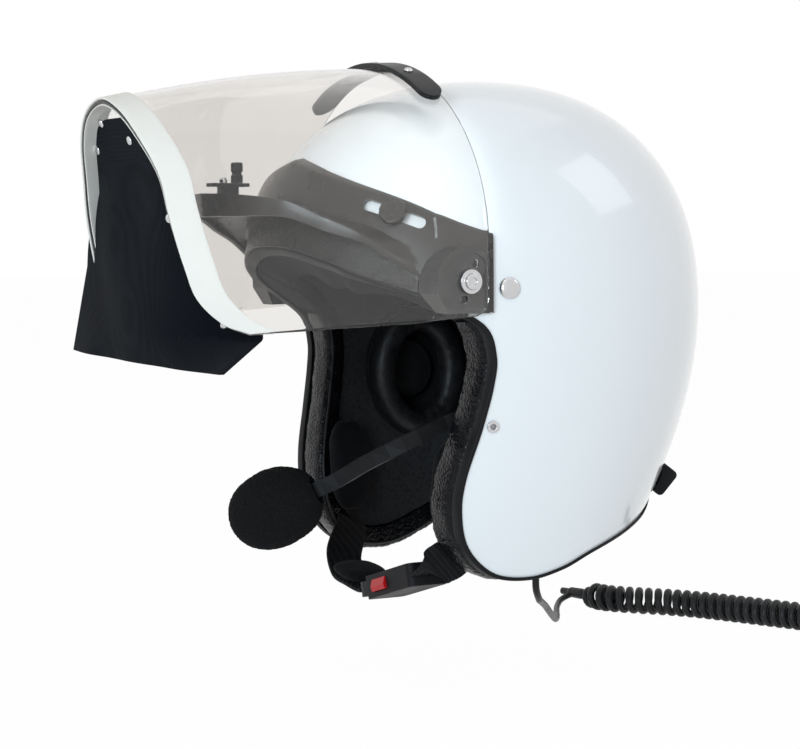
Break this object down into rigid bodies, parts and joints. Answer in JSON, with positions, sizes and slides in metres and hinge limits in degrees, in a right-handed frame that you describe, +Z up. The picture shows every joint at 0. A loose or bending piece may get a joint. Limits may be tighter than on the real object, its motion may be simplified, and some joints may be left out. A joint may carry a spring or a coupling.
{
  "type": "gyrocopter helmet",
  "caption": "Open-face flying helmet with a raised clear visor and wind curtain, brow shield with peak, chin strap, and headset with microphone boom and curled lead.",
  "frame": {"origin": "middle of the head space, at the height of the visor's pivots", "axes": "+Z up, the wearer looks along -Y, +X to the wearer's left"},
  "size_m": [0.2891, 0.554, 0.374],
  "materials": {
    "shell_white": "white gloss lacquer over moulded shell",
    "trim_rubber": "satin black",
    "liner_foam": "black bead foam",
    "pad_cloth": "black knitted cloth",
    "roll_leather": "black glossy grained leatherette",
    "black_plastic": "moulded black",
    "shield_dark": "dark brown-black, glossy",
    "visor_clear": "clear with a slight warm tint, polished",
    "band_white": "soft white",
    "neoprene": "blue-black, very matte",
    "chrome": "polished",
    "mic_foam": "black open foam",
    "red_plastic": "red, satin",
    "webbing": "black woven",
    "cord_black": "satin black"
  },
  "bodies": {
    "helmet": {"outer_shell": "shell_white", "edge_trim": "trim_rubber", "rear_clip": "trim_rubber", "cable_gland": "trim_rubber", "impact_liner": "liner_foam", "crown_pad": "pad_cloth", "cheek_pad_left": "pad_cloth", "cheek_pad_right": "pad_cloth", "chin_pad": "pad_cloth", "brow_pad": "roll_leather", "nape_pad": "roll_leather", "nape_roll": "roll_leather", "brow_roll": "roll_leather", "cheek_roll_left": "roll_leather", "cheek_roll_right": "roll_leather", "ear_seal_left": "roll_leather", "ear_seal_right": "roll_leather", "ear_cup_left": "black_plastic", "ear_cup_right": "black_plastic", "speaker_left": "black_plastic", "speaker_right": "black_plastic", "boom_pivot": "black_plastic", "buckle_body": "black_plastic", "buckle_tongue": "black_plastic", "latch_plate": "black_plastic", "latch_post": "black_plastic", "plug_body": "black_plastic", "chin_strap_left": "webbing", "chin_strap_right": "webbing", "strap_rivet_left": "chrome", "strap_rivet_right": "chrome", "latch_screw": "chrome", "pivot_screw_left": "chrome", "pivot_screw_right": "chrome", "side_stud_left": "chrome", "side_stud_right": "chrome", "plug_tip": "chrome", "brow_shield": "shield_dark", "visor_base_left": "shield_dark", "visor_base_right": "shield_dark", "lead": "cord_black", "curly_cord": "cord_black"},
    "visor": {"visor": "visor_clear", "visor_edge_band": "band_white", "wind_curtain": "neoprene", "visor_top_strip": "black_plastic", "strip_screw_left": "chrome", "strip_screw_right": "chrome"},
    "boom": {"mic_boom": "black_plastic", "mic_capsule": "black_plastic", "mic_windscreen": "mic_foam"},
    "button": {"buckle_button": "red_plastic"},
    "knob_left": {"slot_knob_left": "shield_dark"},
    "knob_right": {"slot_knob_right": "shield_dark"}
  },
  "joints": [
    {"name": "visor_hinge", "type": "hinge", "parent": "helmet", "child": "visor", "pos_m": [0, -0.0815, 0], "axis": [-1, 0, 0], "range_deg": [-62, 8], "deforming": ["wind_curtain"]},
    {"name": "boom_hinge", "type": "hinge", "parent": "helmet", "child": "boom", "pos_m": [0.0811, -0.0435, -0.077], "axis": [-1, 0, 0], "range_deg": [-5, 35]},
    {"name": "button_slide", "type": "slide", "parent": "helmet", "child": "button", "axis": [0, 1, 0], "range_m": [0, 0.002], "stiffness_N_per_m": 300},
    {"name": "knob_left_turn", "type": "hinge", "parent": "helmet", "child": "knob_left", "pos_m": [0.0855, -0.11319, 0.03997], "axis": [0.7044, -0.6375, 0.3121], "continuous": true},
    {"name": "knob_right_turn", "type": "hinge", "parent": "helmet", "child": "knob_right", "pos_m": [-0.0855, -0.11319, 0.03997], "axis": [-0.7044, -0.6375, 0.3121], "continuous": true}
  ]
}
